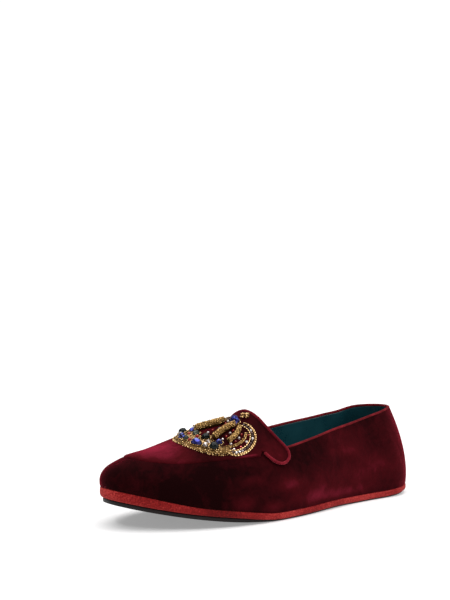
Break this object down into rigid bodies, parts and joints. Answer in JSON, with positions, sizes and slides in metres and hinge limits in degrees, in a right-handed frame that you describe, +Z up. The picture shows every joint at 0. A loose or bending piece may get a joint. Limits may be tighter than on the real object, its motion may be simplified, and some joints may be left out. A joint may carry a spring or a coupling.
{
  "type": "velvet dress slipper",
  "caption": "Low velvet dress slipper for the left foot with a raised apron and ears, a suede-wrapped flat sole, ribbon-bound collar and a beaded crown ornament.",
  "frame": {"origin": "middle of the shoe's box on the floor it stands on", "axes": "+Z up, the toe points towards -Y, the outer side of the foot is +X"},
  "size_m": [0.0939, 0.2842, 0.0772],
  "materials": {
    "sole_black": "matte black thin sole",
    "suede": "red suede, fine nap",
    "lining_leather": "dark teal smooth leather",
    "velvet": "burgundy velvet, deep pile with bright sheen at grazing angles",
    "ribbon": "red velvet ribbon",
    "gold_bead": "antique gold seed beads and bullion wire",
    "stone_blue": "faceted deep blue glass stone",
    "stone_green": "polished dark green glass cabochon",
    "stone_grey": "grey-green glass stone",
    "stone_red": "red glass bead",
    "stone_clear": "clear crystal"
  },
  "bodies": {
    "root": {"outsole": "sole_black", "sole_band": "suede", "insole": "lining_leather", "upper": "velvet", "apron": "velvet", "apron_piping": "ribbon", "topline_binding": "ribbon", "crown_base": "gold_bead", "crown_rib_outer": "gold_bead", "crown_rib_inner": "gold_bead", "crown_side_rib_outer": "gold_bead", "crown_side_rib_inner": "gold_bead", "crown_rim_outer": "gold_bead", "crown_rim_inner": "gold_bead", "crown_stone_01": "stone_green", "crown_stone_02": "stone_clear", "crown_stone_03": "stone_blue", "crown_stone_04": "stone_grey", "crown_stone_05": "stone_red", "crown_stone_06": "stone_blue", "crown_stone_07": "stone_clear", "crown_stone_08": "stone_green", "crown_stone_09": "stone_green", "crown_stone_10": "stone_grey", "crown_orb": "stone_blue", "crown_cross": "gold_bead"}
  },
  "joints": []
}
